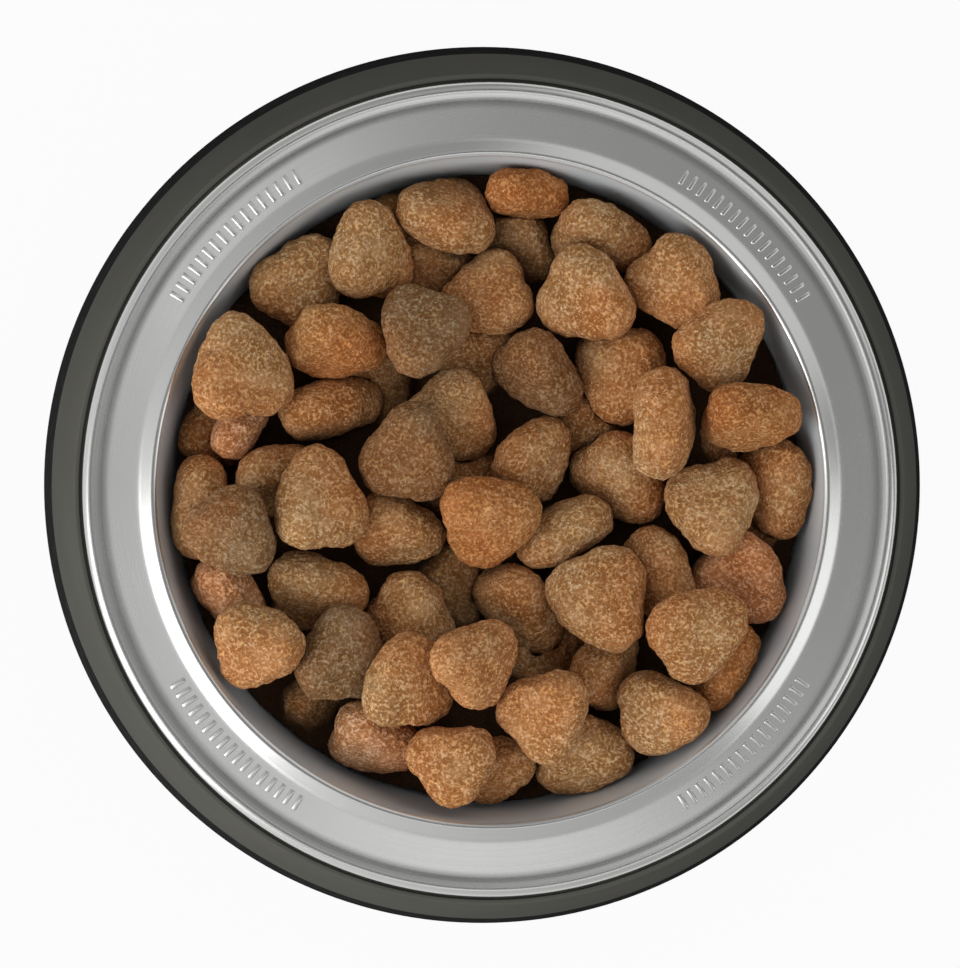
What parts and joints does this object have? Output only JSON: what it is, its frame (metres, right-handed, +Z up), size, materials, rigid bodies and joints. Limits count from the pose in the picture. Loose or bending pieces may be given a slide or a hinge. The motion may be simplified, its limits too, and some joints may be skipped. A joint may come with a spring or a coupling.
{
  "type": "filled pet bowl",
  "caption": "Round pressed-steel pet bowl with a rolled rim, seated in a flared moulded base with a rubber foot ring and heaped with dry kibble.",
  "frame": {"origin": "on the floor under the foot ring, on the bowl's axis", "axes": "+Z up along the bowl's axis; +X to the right and +Y away from a viewer who looks down on the bowl"},
  "size_m": [0.1648, 0.1648, 0.0611],
  "materials": {
    "steel": "satin stainless steel with a fine circular grain",
    "base_plastic": "satin moulded plastic, charcoal",
    "ring_rubber": "matte black rubber",
    "kibble_tan": "dry, grainy, baked",
    "kibble_ginger": "dry, grainy, baked",
    "kibble_russet": "dry, grainy, baked",
    "kibble_olive": "dry, grainy, baked"
  },
  "bodies": {
    "root": {"foot_ring": "ring_rubber", "base_shell": "base_plastic", "steel_bowl": "steel", "kibble_bed": "kibble_tan", "kibble_01": "kibble_tan", "kibble_02": "kibble_tan", "kibble_03": "kibble_russet", "kibble_04": "kibble_tan", "kibble_05": "kibble_tan", "kibble_06": "kibble_tan", "kibble_07": "kibble_russet", "kibble_08": "kibble_tan", "kibble_09": "kibble_tan", "kibble_10": "kibble_russet", "kibble_11": "kibble_tan", "kibble_12": "kibble_ginger", "kibble_13": "kibble_tan", "kibble_14": "kibble_tan", "kibble_15": "kibble_tan", "kibble_16": "kibble_tan", "kibble_17": "kibble_tan", "kibble_18": "kibble_tan", "kibble_19": "kibble_tan", "kibble_20": "kibble_tan", "kibble_21": "kibble_russet", "kibble_22": "kibble_tan", "kibble_23": "kibble_tan", "kibble_24": "kibble_ginger", "kibble_25": "kibble_tan", "kibble_26": "kibble_tan", "kibble_27": "kibble_tan", "kibble_28": "kibble_tan", "kibble_29": "kibble_tan", "kibble_30": "kibble_tan", "kibble_31": "kibble_tan", "kibble_32": "kibble_tan", "kibble_33": "kibble_ginger", "kibble_34": "kibble_olive", "kibble_35": "kibble_tan", "kibble_36": "kibble_olive", "kibble_37": "kibble_olive", "kibble_38": "kibble_ginger", "kibble_39": "kibble_olive", "kibble_40": "kibble_tan", "kibble_41": "kibble_tan", "kibble_42": "kibble_tan", "kibble_43": "kibble_tan", "kibble_44": "kibble_ginger", "kibble_45": "kibble_tan", "kibble_46": "kibble_olive", "kibble_47": "kibble_tan", "kibble_48": "kibble_tan", "kibble_49": "kibble_tan", "kibble_50": "kibble_tan", "kibble_51": "kibble_tan"}
  },
  "joints": []
}
